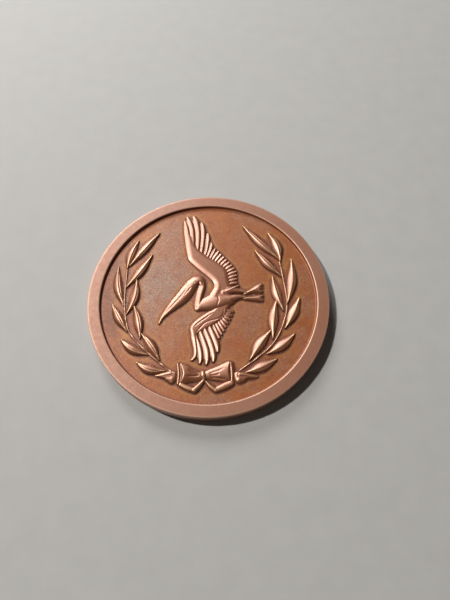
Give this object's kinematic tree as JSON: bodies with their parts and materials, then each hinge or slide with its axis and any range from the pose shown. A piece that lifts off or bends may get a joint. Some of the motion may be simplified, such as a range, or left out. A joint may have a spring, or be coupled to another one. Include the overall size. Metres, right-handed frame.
{
  "type": "table medal",
  "caption": "Round struck bronze table medal with a flat raised rim, a pelican in flight and a laurel wreath tied with a bow in relief, and a plain reverse.",
  "frame": {"origin": "centre of the underside, on the surface that the medal lies on", "axes": "+Z out of the design side, +Y to the top of the design (the upper wing), +X to its right"},
  "size_m": [0.07, 0.07, 0.0042],
  "materials": {
    "field_bronze": "satin brown copper-bronze, lightly mottled patina",
    "relief_bronze": "brighter rubbed copper-bronze on the raised design"
  },
  "bodies": {
    "root": {"bow_knot": "relief_bronze", "bow_left_loop": "relief_bronze", "bow_left_tail": "relief_bronze", "bow_right_loop": "relief_bronze", "bow_right_tail": "relief_bronze", "left_leaf_01": "relief_bronze", "left_leaf_02": "relief_bronze", "left_leaf_03": "relief_bronze", "left_leaf_04": "relief_bronze", "left_leaf_05": "relief_bronze", "left_leaf_06": "relief_bronze", "left_leaf_07": "relief_bronze", "left_leaf_08": "relief_bronze", "left_leaf_09": "relief_bronze", "left_leaf_10": "relief_bronze", "left_stem": "relief_bronze", "left_stem_end": "relief_bronze", "medal_disc": "field_bronze", "pelican_bill": "relief_bronze", "pelican_body": "relief_bronze", "pelican_head": "relief_bronze", "pelican_lower_foot": "relief_bronze", "pelican_lower_wing": "relief_bronze", "pelican_neck": "relief_bronze", "pelican_upper_foot": "relief_bronze", "pelican_upper_wing": "relief_bronze", "right_leaf_01": "relief_bronze", "right_leaf_02": "relief_bronze", "right_leaf_03": "relief_bronze", "right_leaf_04": "relief_bronze", "right_leaf_05": "relief_bronze", "right_leaf_06": "relief_bronze", "right_leaf_07": "relief_bronze", "right_leaf_08": "relief_bronze", "right_leaf_09": "relief_bronze", "right_leaf_10": "relief_bronze", "right_stem": "relief_bronze", "right_stem_end": "relief_bronze"}
  },
  "joints": []
}
